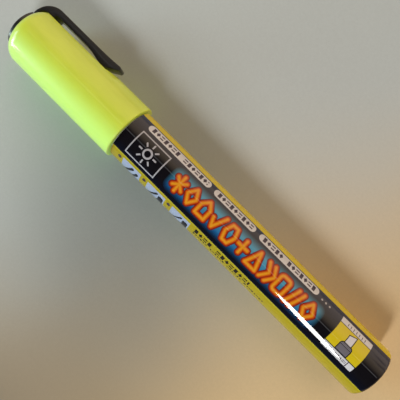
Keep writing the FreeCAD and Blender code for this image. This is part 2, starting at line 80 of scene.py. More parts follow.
class Value(Field):
    """A number that varies over a surface. Python's operators add Math nodes."""

    def __add__(self, other: "Number") -> "Value":
        """self + other."""
        return self.graph.math("ADD", self, other)

    __radd__ = __add__

    def __sub__(self, other: "Number") -> "Value":
        """self - other."""
        return self.graph.math("SUBTRACT", self, other)

    def __rsub__(self, other: "Number") -> "Value":
        """other - self."""
        return self.graph.math("SUBTRACT", other, self)

    def __mul__(self, other: "Number") -> "Value":
        """self * other."""
        return self.graph.math("MULTIPLY", self, other)

    __rmul__ = __mul__

    def __truediv__(self, other: "Number") -> "Value":
        """self / other."""
        return self.graph.math("DIVIDE", self, other)

    def __mod__(self, other: "Number") -> "Value":
        """self modulo other, never negative."""
        return self.graph.math("FLOORED_MODULO", self, other)

    def __abs__(self) -> "Value":
        """The size of self."""
        return self.graph.math("ABSOLUTE", self)

    def floor(self) -> "Value":
        """The whole number below self."""
        return self.graph.math("FLOOR", self)

    def least(self, other: "Number") -> "Value":
        """The smaller of self and other."""
        return self.graph.math("MINIMUM", self, other)

    def most(self, other: "Number") -> "Value":
        """The larger of self and other."""
        return self.graph.math("MAXIMUM", self, other)

    def above(self, other: "Number") -> "Value":
        """1 where self is greater than other, and 0 elsewhere."""
        return self.graph.math("GREATER_THAN", self, other)

    def eased(self, start: float, stop: float) -> "Value":
        """Rises smoothly from 0 to 1.

        Args:
            start: where the result is 0.
            stop: where the result is 1, which may be below start.

        Returns:
            The eased value.
        """
        node = self.graph.node(
            "ShaderNodeMapRange", {"interpolation_type": "SMOOTHSTEP"},
            {"Value": self, "From Min": start, "From Max": stop})
        return Value(self.graph, node.outputs["Result"])

    def ramped(self, gain: float, offset: float) -> "Value":
        """self * gain + offset, held between 0 and 1."""
        return self.graph.math("MULTIPLY_ADD", self, gain, offset, clamp=True)


class Arrow(Field):
    """A vector that varies over a surface. Python's operators add Vector Math nodes."""

    def __sub__(self, other: "Triple") -> "Arrow":
        """self - other."""
        return self.graph.vector_math("SUBTRACT", self, other)

    def __mul__(self, other: "Triple") -> "Arrow":
        """self * other, part by part."""
        return self.graph.vector_math("MULTIPLY", self, other)

    def dot(self, other: "Triple") -> Value:
        """The dot product."""
        return self.graph.vector_value("DOT_PRODUCT", self, other)

    def length(self) -> Value:
        """The length."""
        return self.graph.vector_value("LENGTH", self)

    def distance(self, other: "Triple") -> Value:
        """The distance to a place."""
        return self.graph.vector_value("DISTANCE", self, other)


Number = Union[Value, float]
Triple = Union[Arrow, Place]


class Coordinates(Enum):
    """The coordinates that a node tree can start from, as Blender names them."""

    OBJECT = "Object"
    GENERATED = "Generated"


class Graph:
    """The node tree of a material or a world, with short ways to add nodes to it."""

    def __init__(self, holder: Union[bpy.types.Material, bpy.types.World],
                 coordinates: Coordinates = Coordinates.OBJECT) -> None:
        """Empties the holder's node tree.

        Args:
            holder: the new material or world.
            coordinates: the coordinates that give the place.
        """
        self.holder = holder
        holder.use_nodes = True
        self.tree = holder.node_tree
        self.tree.nodes.clear()
        start = self.node("ShaderNodeTexCoord")
        self.place = Arrow(self, start.outputs[coordinates.value])

    def node(self, kind: str, settings: Optional[dict] = None,
             inputs: Optional[dict] = None) -> bpy.types.Node:
        """Adds a node of any type.

        Args:
            kind: the node's type.
            settings: attributes set first; "stops" is a colour ramp's list of (place, colour).
            inputs: a number, colour, Field or socket for each socket, by name or index.

        Returns:
            The new node.
        """
        node = self.tree.nodes.new(kind)
        for key, value in (settings or {}).items():
            if key == "stops":
                self._set_stops(node.color_ramp, value)
            else:
                setattr(node, key, value)
        for key, value in (inputs or {}).items():
            self._feed(node.inputs[key], value)
        return node

    def _set_stops(self, ramp: bpy.types.ColorRamp, stops: Sequence[tuple[float, Colour]]) -> None:
        """Gives a colour ramp exactly the listed stops.

        Args:
            ramp: a new ramp, which has two stops.
            stops: the place from 0 to 1 and the colour of each stop, two or more of them.
        """
        while len(ramp.elements) < len(stops):
            ramp.elements.new(1.0)
        for element, (place, colour) in zip(ramp.elements, stops):
            element.position = place
            element.color = (*colour, 1.0)

    def _feed(self, socket: bpy.types.NodeSocket, value: object) -> None:
        """Links a field to a socket, or sets the socket's own value.

        Args:
            socket: the input socket.
            value: a Field or an output socket to link, or a number, vector or colour to set.
        """
        if isinstance(value, Field):
            self.tree.links.new(value.socket, socket)
        elif isinstance(value, bpy.types.NodeSocket):
            self.tree.links.new(value, socket)
        elif socket.type == "RGBA":
            socket.default_value = (*value, 1.0)
        else:
            socket.default_value = value

    def math(self, operation: str, *operands: Number, clamp: bool = False) -> Value:
        """Adds a Math node and returns its result."""
        node = self.node("ShaderNodeMath", {"operation": operation, "use_clamp": clamp},
                         dict(enumerate(operands)))
        return Value(self, node.outputs[0])

    def vector_math(self, operation: str, *operands: Triple) -> Arrow:
        """Adds a Vector Math node and returns its vector."""
        node = self.node("ShaderNodeVectorMath", {"operation": operation},
                         dict(enumerate(operands)))
        return Arrow(self, node.outputs["Vector"])

    def vector_value(self, operation: str, *operands: Triple) -> Value:
        """Adds a Vector Math node and returns its number."""
        node = self.node("ShaderNodeVectorMath", {"operation": operation},
                         dict(enumerate(operands)))
        return Value(self, node.outputs["Value"])

    def millimetres(self) -> Arrow:
        """The place on the pen in millimetres."""
        return self.place * (1 / MM, 1 / MM, 1 / MM)

    def parts(self, arrow: Arrow) -> tuple[Value, Value, Value]:
        """The three parts of a vector, read off along the axes."""
        return arrow.dot(X_AXIS), arrow.dot(Y_AXIS), arrow.dot(Z_AXIS)

    def joined(self, x: Number, y: Number) -> Arrow:
        """A flat vector from two numbers."""
        node = self.node("ShaderNodeCombineXYZ", None, {0: x, 1: y})
        return Arrow(self, node.outputs[0])

    def noise(self, place: Arrow, scale: float, detail: float = 2.0,
              distortion: float = 0.0) -> Value:
        """Soft noise from 0 to 1 at a scale in cells per millimetre."""
        node = self.node("ShaderNodeTexNoise", None,
                         {"Vector": place, "Scale": scale, "Detail": detail,
                          "Distortion": distortion})
        return Value(self, node.outputs["Fac"])

    def mix(self, factor: Number, low: object, high: object) -> Field:
        """A colour between low and high."""
        node = self.node("ShaderNodeMix", {"data_type": "RGBA"}, {0: factor, 6: low, 7: high})
        return Field(self, node.outputs[2])

    def tint(self, below: Field, filter_colour: Field) -> Field:
        """Multiplies two colour fields."""
        node = self.node("ShaderNodeMix", {"data_type": "RGBA", "blend_type": "MULTIPLY"},
                         {0: 1.0, 6: below, 7: filter_colour})
        return Field(self, node.outputs[2])

    def ramp(self, factor: Number, stops: Sequence[tuple[float, Colour]]) -> Field:
        """A colour read off a row of stops."""
        node = self.node("ShaderNodeValToRGB", {"stops": stops}, {0: factor})
        return Field(self, node.outputs["Color"])

    def bump(self, height: Value, depth: float) -> Field:
        """A normal bent by a height field at full strength; depth is in metres."""
        node = self.node("ShaderNodeBump", None,
                         {"Strength": 1.0, "Distance": depth, "Height": height})
        return Field(self, node.outputs["Normal"])

    def surface(self, **sockets: object) -> bpy.types.Material:
        """Ends the graph in a Principled shader.

        Args:
            sockets: what goes into each socket; underscores in names stand for spaces.

        Returns:
            The finished material.
        """
        inputs = {key.replace("_", " "): value for key, value in sockets.items()}
        shader = self.node("ShaderNodeBsdfPrincipled", None, inputs)
        self.node("ShaderNodeOutputMaterial", None, {"Surface": shader.outputs[0]})
        return self.holder


# --- Finishes --------------------------------------------------------------------------------

@dataclass(frozen=True)
class MouldedPlastic:
    """Injection-moulded plastic: faint flow marks, a fine skin and small scuffs.

    Lengths are in millimetres. flank is painted light: the colour of the side that faces away from
    the clip, towards the windows, painted greener and brighter as if lit there. It takes over from
    the main colour between painted_lit_side_from and painted_lit_side_to on the Y axis. glow is a
    painted glow: the colour shines as emission, though the plastic is no lamp.
    """

    name: str
    colour: Colour
    shade: Colour
    roughness: float = 0.35
    coat: float = 0.0
    coat_roughness: float = 0.06
    depth: float = 0.0
    depth_reach: float = 2.5
    depth_hue: Colour = (1.0, 0.9, 0.25)
    glow: float = 0.0
    skin: float = 0.004
    scuffing: float = 0.12
    unevenness: float = 0.08
    painted_lit_side: Optional[Colour] = None
    painted_lit_side_from: float = 1.5
    painted_lit_side_to: float = -7.5

    def build(self) -> bpy.types.Material:
        """Makes the material.

        Returns:
            The finished material.
        """
        graph = Graph(bpy.data.materials.new(self.name))
        place = graph.millimetres()
        flow = graph.noise(place * (0.25, 1.0, 1.0), scale=0.35, detail=3.0, distortion=0.6)
        speck = graph.noise(place, scale=9.0)
        scratches = graph.noise(place * (0.6, 1.0, 1.0), scale=2.2, detail=6.0, distortion=1.2)
        scuff = scratches.ramped(gain=6.0, offset=-3.6)
        colour = graph.mix(flow.ramped(gain=1.6, offset=-0.3), self.colour, self.shade)
        # Painted light: the side that faces away from the clip, towards the windows, turns greener
        # and brighter as if lit.
        if self.painted_lit_side:
            side = graph.parts(place)[1].eased(self.painted_lit_side_from, self.painted_lit_side_to)
            colour = graph.mix(side, colour, self.painted_lit_side)
        sockets = {
            "Base_Color": colour,
            "Roughness": (self.roughness + scuff * self.scuffing
                          + (speck - 0.5) * self.unevenness),
            "Coat_Weight": self.coat,
            "Coat_Roughness": self.coat_roughness,
            "Subsurface_Weight": self.depth,
            "Subsurface_Radius": self.depth_hue,
            "Subsurface_Scale": self.depth_reach * MM,
            "Normal": graph.bump(speck + flow * 2.0, self.skin * MM),
        }
        # Painted glow: the colour, painted lit side included, shines as emission though the
        # plastic is no lamp.
        if self.glow:
            sockets["Emission_Color"] = colour
            sockets["Emission_Strength"] = self.glow
        return graph.surface(**sockets)


@dataclass(frozen=True)
class Rubber:
    """Soft rubber with a bloom of dust in its pores."""

    name: str
    colour: Colour
    bloom: float = 1.8
    haze: float = 0.02
    roughness: float = 0.62
    pore_depth: float = 0.02

    def build(self) -> bpy.types.Material:
        """Makes the material.

        Returns:
            The finished material.
        """
        graph = Graph(bpy.data.materials.new(self.name))
        place = graph.millimetres()
        dust = graph.noise(place, scale=3.0, detail=5.0)
        pores = graph.noise(place, scale=14.0)
        dusty = tuple(part * self.bloom + self.haze for part in self.colour)
        return graph.surface(
            Base_Color=graph.mix(dust.ramped(gain=2.0, offset=-0.6), self.colour, dusty),
            Roughness=self.roughness + dust * 0.2,
            Normal=graph.bump(pores, self.pore_depth * MM))


@dataclass(frozen=True)
class Metal:
    """Bare metal with fine marks; draw is below 1 on the axis that the marks run along."""

    name: str
    colour: Colour
    roughness: float
    draw: Place = (1.0, 1.0, 1.0)
    stain: float = 0.75
    mark_depth: float = 0.003

    def build(self) -> bpy.types.Material:
        """Makes the material.

        Returns:
            The finished material.
        """
        graph = Graph(bpy.data.materials.new(self.name))
        place = graph.millimetres()
        marks = graph.noise(place * self.draw, scale=6.0, detail=5.0)
        stains = graph.noise(place, scale=0.8, detail=3.0).ramped(gain=1.8, offset=-0.4)
        dull = tuple(part * self.stain for part in self.colour)
        return graph.surface(
            Base_Color=graph.mix(stains, self.colour, dull),
            Metallic=1.0,
            Roughness=self.roughness + marks * 0.12,
            Normal=graph.bump(marks, self.mark_depth * MM))


@dataclass(frozen=True)
class PressedFelt:
    """Pressed fibre nib: fibres run along it, and ink has soaked the writing edge.

    The ink fades out between soaked_from and soaked_to on the X axis, in millimetres, and its
    edge wanders by up to half of wander.
    """

    name: str
    fibre: Colour
    ink: Colour
    soaked_from: float
    soaked_to: float
    wander: float = 3.0
    dry_shade: float = 0.78
    wet_shade: float = 0.8
    fibre_depth: float = 0.05

    def build(self) -> bpy.types.Material:
        """Makes the material.

        Returns:
            The finished material.
        """
        graph = Graph(bpy.data.materials.new(self.name))
        place = graph.millimetres()
        along = graph.parts(place)[0]
        fibres = graph.noise(place * (0.12, 1.0, 1.0), scale=7.0, detail=6.0, distortion=0.3)
        clumps = graph.noise(place, scale=1.1, detail=3.0)
        span = self.soaked_to - self.soaked_from
        edge = along + clumps * self.wander - self.wander / 2
        soaked = edge.ramped(-1.0 / span, self.soaked_to / span)
        streaks = fibres.ramped(gain=2.0, offset=-0.5)
        dry = graph.mix(streaks, self.fibre, tuple(part * self.dry_shade for part in self.fibre))
        wet = graph.mix(streaks, self.ink, tuple(part * self.wet_shade for part in self.ink))
        return graph.surface(
            Base_Color=graph.mix(soaked, dry, wet),
            Roughness=0.8 - soaked * 0.25,
            Normal=graph.bump(fibres, self.fibre_depth * MM))


@dataclass(frozen=True)
class TableTop:
    """Smooth pale table, cool at the far side, with painted warm light at the near side and
    painted shade beside the cap.

    Lengths are in millimetres, measured to the right and upwards as the camera sees the table.
    warm_span and dark_span give where a colour starts to show and where it is full. dim_span
    does so the other way round, from full to gone, in shares of dim_reach.
    """

    name: str
    pale: Colour = (0.56, 0.61, 0.62)
    warm: Colour = (0.72, 0.53, 0.29)
    dark: Colour = (0.25, 0.21, 0.15)
    dim: Colour = (0.50, 0.51, 0.51)
    speckled: Colour = (0.93, 0.93, 0.93)
    turn: float = math.radians(45.0)
    middle: float = 80.0
    cloud: float = 40.0
    slope: float = 0.35
    warm_span: Point = (30.0, -65.0)
    dark_span: Point = (-55.0, -150.0)
    dim_middle: Point = (-32.0, -18.0)
    dim_reach: Point = (45.0, 80.0)
    dim_span: Point = (0.1, 1.3)
    roughness: float = 0.62
    grain: float = 0.01

    def build(self) -> bpy.types.Material:
        """Makes the material.

        Returns:
            The finished material.
        """
        graph = Graph(bpy.data.materials.new(self.name))
        place = graph.millimetres() - (self.middle, 0.0, 0.0)
        right = place.dot((math.cos(self.turn), math.sin(self.turn), 0.0))
        up = place.dot((-math.sin(self.turn), math.cos(self.turn), 0.0))
        cloud = graph.noise(place, scale=0.012) * self.cloud - self.cloud / 2
        fleck = graph.noise(place, scale=1.3, detail=3.0)
        fine = graph.noise(place, scale=3.1)
        # Painted light and shade: a warm pool of light towards the near side, and painted shade
        # darkening the near left corner.
        near = (up - right * self.slope + cloud).eased(*self.warm_span)
        corner = (up + right + cloud).eased(*self.dark_span)
        base = graph.mix(corner, graph.mix(near, self.pale, self.warm), self.dark)
        # Painted shade: the colour is dimmed round a spot beside the cap.
        from_dim = graph.joined((right - self.dim_middle[0]) / self.dim_reach[0],
                                (up - self.dim_middle[1]) / self.dim_reach[1]).length()
        base = graph.tint(base, graph.mix(from_dim.eased(*self.dim_span), self.dim, WHITE))
        speck = (fleck * 0.6 + fine * 0.4).ramped(gain=2.4, offset=-0.7)
        return graph.surface(
            Base_Color=graph.tint(base, graph.mix(speck, self.speckled, WHITE)),
            Roughness=self.roughness + fleck * 0.1,
            Normal=graph.bump(fine, self.grain * MM))


# --- Printed sleeve --------------------------------------------------------------------------

class Ink(Enum):
    """The inks printed on the sleeve, and the slate of a painted sheen."""

    BLACK = (0.006, 0.005, 0.007)
    NAVY = (0.003, 0.005, 0.014)
    GOLD = (0.66, 0.52, 0.014)
    MUSTARD = (0.40, 0.31, 0.008)
    LIME = (0.46, 0.42, 0.012)
    WHITE = (0.66, 0.65, 0.70)
    SILVER = (0.42, 0.41, 0.45)
    PLUM = (0.045, 0.028, 0.05)
    SKY = (0.08, 0.32, 0.48)
    GREY = (0.16, 0.15, 0.18)
    PALE = (0.36, 0.42, 0.58)
    # Painted sheen: this slate lightens the top of the dark panel and tints the coat's reflection
    # there.
    SLATE = (0.040, 0.044, 0.085)


@dataclass(frozen=True)
class Area:
    """A rectangle on the unrolled sleeve, in millimetres."""

    left: float
    right: float
    foot: float
    top: float
    corner: float = 0.0


class Artwork:
    """Draws flat shapes on the unrolled sleeve, in millimetres.

    x runs from the front of the barrel to the tail. y is the arc from the top line, positive
    towards the clip.
    """

    EDGE = 0.07
    SMALL_EDGE = 0.14
    HALF_MARK = 0.41
    BLOCK_SHARE = 0.8
    DIAMOND_SLOPE = 0.7
    DASH_PLACE = 0.55
    DASH_HALF = 0.25

    def __init__(self, graph: Graph, front: float, radius: float) -> None:
        """Unrolls the sleeve.

        Args:
            graph: the material's graph.
            front: the front of the barrel, in millimetres.
            radius: the sleeve's radius, in millimetres.
        """
        self.graph = graph
        along, across, up = graph.parts(graph.millimetres())
        self.x = along - front
        self.y = graph.math("ARCTAN2", across, up) * radius
        self.flat = graph.joined(self.x, self.y)
        self.colour: Field = graph.mix(0.0, Ink.GOLD.value, Ink.GOLD.value)

    def lay(self, mask: Number, ink: Union[Ink, Field]) -> None:
        """Prints an ink, or a colour field, where the mask is 1."""
        top = ink.value if isinstance(ink, Ink) else ink
        self.colour = self.graph.mix(mask, self.colour, top)

    def fill(self, distance: Value, soft: float = EDGE) -> Value:
        """A mask that is 1 where a signed distance is negative, with an edge soft mm wide."""
        return distance.ramped(-1.0 / soft, 0.5)

    def box(self, area: Area) -> Value:
        """Measures from a rectangle's edge.

        Args:
            area: the rectangle.

        Returns:
            The signed distance, which is negative inside.
        """
        across = (area.right - area.left) / 2 - area.corner
        upright = (area.top - area.foot) / 2 - area.corner
        beyond_x = abs(self.x - (area.left + area.right) / 2) - across
        beyond_y = abs(self.y - (area.foot + area.top) / 2) - upright
        if not area.corner:
            return beyond_x.most(beyond_y)
        near = self.graph.joined(beyond_x.most(0.0), beyond_y.most(0.0)).length()
        return near + beyond_x.most(beyond_y).least(0.0) - area.corner

    def stroke(self, start: Point, end: Point) -> Value:
        """Measures from a straight stroke.

        Args:
            start: one end.
            end: the other end.

        Returns:
            The distance to the stroke.
        """
        run = (end[0] - start[0], end[1] - start[1], 0.0)
        reach = run[0] ** 2 + run[1] ** 2
        along = self.flat - (*start, 0.0)
        share = along.dot(tuple(part / reach for part in run)).ramped(1.0, 0.0)
        scaled = self.graph.node("ShaderNodeVectorMath", {"operation": "SCALE"},
                                 {0: run, "Scale": share})
        return along.distance(Arrow(self.graph, scaled.outputs["Vector"]))

    def path(self, points: Sequence[Point]) -> Value:
        """The distance to a chain of strokes."""
        return self.nearest(self.stroke(*pair) for pair in zip(points, points[1:]))

    def ring(self, centre: Point, radius: float) -> Value:
        """The distance to a circle's line."""
        return abs(self.flat.distance((*centre, 0.0)) - radius)

    def dot(self, centre: Point) -> Value:
        """The distance to a point."""
        return self.flat.distance((*centre, 0.0))

    def nearest(self, distances: Iterable[Value]) -> Value:
        """Joins several distances.

        Args:
            distances: one or more distances.

        Returns:
            The least of them.
        """
        best: Optional[Value] = None
        for distance in distances:
            best = distance if best is None else best.least(distance)
        return best

    def mark_row(self, area: Area, pitch: float, gaps: Sequence[int] = ()) -> Value:
        """A row of small plain marks: blocks, diamonds and double dashes in turn.

        Args:
            area: the row's rectangle.
            pitch: the width of one mark.
            gaps: the numbers of marks that are left out.

        Returns:
            The mask of the marks.
        """
        tall = (area.top - area.foot) / 2
        wide = pitch * self.HALF_MARK
        shifted = self.x - area.left
        number = (shifted / pitch).floor()
        u = abs((shifted % pitch) - pitch / 2)
        v = abs(self.y - (area.foot + area.top) / 2)
        block = (u - wide * self.BLOCK_SHARE).most(v - tall)
        diamond = (u * (tall / wide) + v - tall) * self.DIAMOND_SLOPE
        dashes = (abs(v - tall * self.DASH_PLACE) - tall * self.DASH_HALF).most(u - wide)
        second = (number % 3.0).above(0.5)
        third = (number % 3.0).above(1.5)
        shape = block * (1.0 - second) + diamond * (second - third) + dashes * third
        window = Area(area.left, area.right, area.foot - 1.0, area.top + 1.0)
        mask = self.fill(shape, self.SMALL_EDGE) * self.fill(self.box(window))
        for gap in gaps:
            mask = mask * abs(number - float(gap)).above(0.5)
        return mask


@dataclass(frozen=True)
class PrintedSleeve:
    """Glossy shrink film, printed from the inside, over the whole barrel.

    front is the barrel's front on the X axis. All places below it are in millimetres on the
    unrolled sleeve, as Artwork measures them.
    """

    name: str
    front: float
    length: float
    radius: float
    past: float = 5.0
    seam: float = -26.0
    panel: Point = (-5.75, 7.6)
    rule_gap: float = 0.28
    rule_half: float = 0.12
    haze: Area = Area(18.8, 72.6, -3.4, 2.9, corner=1.2)
    haze_edge: float = 2.4
    badge: Area = Area(4.15, 14.85, -4.45, 3.2)
    badge_line: float = 0.19
    sign: Point = (9.5, -0.62)
    neon_first: float = 21.6
    neon_pitch: float = 4.82
    neon_half_width: float = 1.62
    neon_span: Point = (-2.65, 2.25)
    neon_tube: float = 1.10
    nib_box: Area = Area(78.0, 88.75, -1.85, 4.45)
    nib_line: float = 0.13
    step_first: float = 4.8
    step_pitch: float = 9.7
    step_width: float = 7.0
    wrinkled_from_tail: float = 12.0
    wrinkled_fade: float = 10.0
    wrinkle: float = 0.10

    def build(self) -> bpy.types.Material:
        """Makes the material.

        Returns:
            The finished material.
        """
        graph = Graph(bpy.data.materials.new(self.name))
        art = Artwork(graph, self.front, self.radius)
        self._grounds(art)
        self._pills(art)
        self._badge(art)
        self._neon(art)
        self._nib_box(art)
        self._steps(art)
        self._fine_print(art)
        place = graph.millimetres()
        wobble = graph.noise(place * (0.5, 1.0, 1.0), scale=0.28)
        pull = graph.noise(place * (0.10, 1.0, 1.0), scale=1.1, detail=3.0)
        near_tail = art.x.ramped(1.0 / self.wrinkled_fade,
                                 (self.wrinkled_from_tail - self.length) / self.wrinkled_fade)
        scratch = graph.noise(place * (0.05, 1.0, 1.0), scale=5.0, detail=4.0)
        return graph.surface(
            Base_Color=art.colour,
            Roughness=0.45 + scratch * 0.08,
            Specular_IOR_Level=0.0,
            Coat_Weight=1.0 - pull.ramped(gain=6.0, offset=-3.2) * near_tail * 0.6,
            Coat_Roughness=0.035,
            Coat_IOR=1.5,
            Normal=graph.bump(wobble * 0.5 + pull * (0.12 + near_tail * 2.2),
                              self.wrinkle * MM))

    def _grounds(self, art: Artwork) -> None:
        """Golden ground, dark panel with a painted sheen at its top, and the blue glow behind the
        neon shapes.

        Args:
            art: the sleeve's artwork.
        """
        low, high = self.panel
        front, tail = -self.past, self.length + self.past
        art.lay(art.fill(art.box(Area(front, tail, self.seam, 0.0))), Ink.MUSTARD)
        panel = art.fill(art.box(Area(front, tail, low, high)))
        rule = art.fill(abs(art.y - (low - self.rule_gap)) - self.rule_half)
        art.lay(rule, Ink.LIME)
        # The panel is printed navy at its foot and black in the middle. The lighter slate at its
        # top is a painted sheen that tints the coat's reflection there cool grey.
        dark = art.graph.ramp(art.y.ramped(1.0 / 14.0, 0.45), [
            (0.0, Ink.NAVY.value), (0.25, Ink.BLACK.value), (0.6, Ink.BLACK.value),
            (1.0, Ink.SLATE.value)])
        art.lay(panel, dark)
        haze = art.fill(art.box(self.haze), self.haze_edge)
        glow = art.graph.ramp(art.y.ramped(1.0 / 9.0, 0.5), [
            (0.0, (0.004, 0.035, 0.12)), (0.2, (0.012, 0.11, 0.30)), (0.6, Ink.SKY.value),
            (1.0, (0.10, 0.22, 0.30))])
        art.lay(haze, glow)

    def _pills(self, art: Artwork) -> None:
        """Three pale pills with plain marks in them, and three dots after the last.

        Args:
            art: the sleeve's artwork.
        """
        for start, end, gaps in [(4.0, 28.0, (7,)), (29.6, 45.2, ()), (46.9, 69.0, (5,))]:
            pill = Area(start, end, 4.6, 7.25, corner=1.25)
            row = Area(start + 1.2, end - 1.0, 5.1, 6.8)
            art.lay(art.fill(art.box(pill)), Ink.WHITE)
            art.lay(art.mark_row(row, 1.52, gaps), Ink.PLUM)
        first_dot, pitch, height, radius = 70.7, 1.4, 5.2, 0.30
        dots = art.nearest(art.dot((first_dot + step * pitch, height)) for step in range(3))
        art.lay(art.fill(dots - radius), Ink.SILVER)

    def _badge(self, art: Artwork) -> None:
        """A square frame round a plain lamp sign: a ring with eight rays.

        Args:
            art: the sleeve's artwork.
        """
        ring_radius, ring_half, rays_from, rays_to, ray_half = 1.25, 0.28, 2.05, 3.1, 0.24
        square = abs(art.box(self.badge)) - self.badge_line
        middle = Vector(self.sign)
        rays = []
        for step in range(4):
            turn = step * math.pi / 4
            reach = Vector((math.cos(turn), math.sin(turn))) * rays_to
            rays.append(art.stroke(middle - reach, middle + reach))
        ring = art.ring(middle, ring_radius) - ring_half
        outside = rays_from - art.dot(middle)
        sign = ring.least((art.nearest(rays) - ray_half).most(outside))
        art.lay(art.fill(square.least(sign)), Ink.SILVER)

    def _neon(self, art: Artwork) -> None:
        """A row of plain shapes drawn as bent neon tubes.

        Args:
            art: the sleeve's artwork.
        """
        foot, top = self.neon_span
        mid = (top + foot) / 2
        tall = (top - foot) / 2

        def at(number: int, points: Sequence[Point]) -> list[Point]:
            """Places the points of a shape.

            Args:
                number: the shape's number in the row.
                points: its points, in halves of a shape's width and height.

            Returns:
                The points on the unrolled sleeve.
            """
            middle = self.neon_first + number * self.neon_pitch
            return [(middle + x * self.neon_half_width, mid + y * tall) for x, y in points]

        diamond = [(0, 1), (1, 0), (0, -1), (-1, 0), (0, 1)]
        house = [(-1, -1), (1, -1), (1, 0.25), (0, 1), (-1, 0.25), (-1, -1)]
        tick = [(-1, 0.1), (-0.25, -0.9), (1, 1)]
        hexagon = [(-0.55, 1), (0.55, 1), (1.1, 0), (0.55, -1), (-0.55, -1), (-1.1, 0),
                   (-0.55, 1)]
        triangle = [(0, 1), (1.15, -1), (-1.15, -1), (0, 1)]
        chains = [
            at(0, [(0, 1), (0, -1)]), at(0, [(-1, 0.55), (1, -0.55)]),
            at(0, [(1, 0.55), (-1, -0.55)]), at(1, diamond), at(2, house), at(3, tick),
            at(4, hexagon), at(5, [(0, 0.8), (0, -0.8)]), at(5, [(-1, 0), (1, 0)]),
            at(6, triangle), at(7, [(-0.9, 1), (0.1, 0), (-0.9, -1)]),
            at(7, [(0.35, 1), (1.3, 0), (0.35, -1)]), at(9, [(0.1, -1), (1, 1)]),
            at(9, [(-1, -1), (-0.1, 1)]), at(10, diamond)]
        (left, _), (right, _) = at(8, [(-1, 0), (1, 0)])
        square = art.box(Area(left, right, foot, top, corner=0.9))
        distance = art.nearest(art.path(chain) for chain in chains).least(abs(square))
        tube = art.graph.ramp((distance / self.neon_tube).ramped(1.0, 0.0), [
            (0.0, (0.76, 0.33, 0.02)), (0.24, (0.72, 0.25, 0.012)), (0.46, (0.60, 0.10, 0.008)),
            (0.72, (0.34, 0.022, 0.006)), (1.0, (0.06, 0.008, 0.012))])
        art.lay(art.fill(distance - self.neon_tube, 0.16), tube)

    def _nib_box(self, art: Artwork) -> None:
        """A small picture of the nib in its holder, over a scale of six one-millimetre steps.

        Args:
            art: the sleeve's artwork.
        """
        left, right, foot, top = (self.nib_box.left, self.nib_box.right, self.nib_box.foot,
                                  self.nib_box.top)
        line = self.nib_line
        name_foot, name_top = -3.8, -2.1
        art.lay(art.fill(art.box(Area(left, right, top + 0.2, 6.4))), Ink.WHITE)
        art.lay(art.fill(art.box(self.nib_box)), Ink.GOLD)
        art.lay(art.fill(art.box(Area(left, right, name_foot, name_top))), Ink.WHITE)
        ticks = abs(((art.x - 79.85) % 1.0) - 0.5) - 0.1
        ruler = art.fill(ticks) * art.fill(art.box(Area(79.9, 86.9, 4.9, 5.8)))
        art.lay(ruler, Ink.PLUM)
        skirt = Area(81.35, 85.2, foot, 0.25)
        shoulder = Area(81.35, 85.2, -1.0, 1.05, corner=0.95)
        holder = art.box(skirt).least(art.box(shoulder))
        art.lay(art.fill(holder - line), Ink.BLACK)
        art.lay(art.fill(holder + line), Ink.GREY)
        nib_left, nib_height, nib_slope = 82.1, 3.35, 0.35
        blank = art.box(Area(nib_left, 84.35, 1.0, 5.5))
        nib = blank.most((art.y - nib_height) - (art.x - nib_left) * nib_slope)
        art.lay(art.fill(nib - line), Ink.BLACK)
        art.lay(art.fill(nib + line), Ink.WHITE)
        rib = abs(art.y - 0.15) - 0.09
        art.lay(art.fill(rib.most(holder + line)), Ink.BLACK)
        divider = art.box(Area(86.5, 86.75, name_foot, name_top))
        marks = art.mark_row(Area(80.2, 86.2, -3.35, -2.55), 0.95)
        art.lay(art.fill(divider).most(marks), Ink.PLUM)

    def _steps(self, art: Artwork) -> None:
        """Three pale picture boxes with a dot before each, and two rows of plain marks.

        Args:
            art: the sleeve's artwork.
        """
        dot_gap, dot_height, dot_radius = 1.25, -7.55, 0.62
        for step in range(3):
            start = self.step_first + step * self.step_pitch
            picture = Area(start, start + self.step_width, -13.0, -6.75)
            art.lay(art.fill(art.box(picture)), Ink.PALE)
            swipe = art.nearest([
                art.stroke((start + 1.2, -11.6), (start + 4.0, -7.9)),
                art.stroke((start + 4.4, -11.4), (start + 5.9, -8.6)),
            ])
            art.lay(art.fill(swipe - 0.5 + step * 0.08), Ink.NAVY)
            if step:
                block = Area(start + 4.7, start + 6.6, -12.2, -7.9, corner=0.5)
                art.lay(art.fill(art.box(block)), Ink.NAVY)
            dot = art.dot((start - dot_gap, dot_height)) - dot_radius
            art.lay(art.fill(dot), Ink.PLUM)
        art.lay(art.mark_row(Area(33.0, 54.2, -8.1, -6.5), 1.7, (4,)), Ink.BLACK)
        art.lay(art.mark_row(Area(33.0, 60.6, -9.1, -8.4), 0.95, (6, 13, 20)), Ink.BLACK)

    def _fine_print(self, art: Artwork) -> None:
        """Rows of short dashes round the back, where instructions would stand.

        Args:
            art: the sleeve's artwork.
        """
        pitch, half_height = 1.25, 0.22
        cell_width, row_shift = 2.3, 3.7
        shortest, spread = 0.35, 0.7
        row = (art.y / pitch).floor()
        across = abs((art.y % pitch) - pitch / 2) - half_height
        cell = ((art.x + row * row_shift) / cell_width).floor()
        node = art.graph.node("ShaderNodeTexWhiteNoise", {"noise_dimensions": "2D"},
                              {"Vector": art.graph.joined(cell, row)})
        length = Value(art.graph, node.outputs["Value"]) * spread + shortest
        middle = cell_width / 2
        along = abs(((art.x + row * row_shift) % cell_width) - middle) - length
        block = art.fill(art.box(Area(8.0, 84.0, 13.5, 24.0))).most(
            art.fill(art.box(Area(8.0, 60.0, -24.0, -15.5))))
        art.lay(art.fill(across.most(along), 0.12) * block, Ink.PLUM)
        rule = abs(art.box(Area(6.5, 85.5, 12.0, 25.0))) - self.rule_half
        art.lay(art.fill(rule), Ink.PLUM)


# --- Modelling -------------------------------------------------------------------------------

class Element(Enum):
    """What edit mode selects, as Blender names it."""

    VERT = "VERT"
    FACE = "FACE"


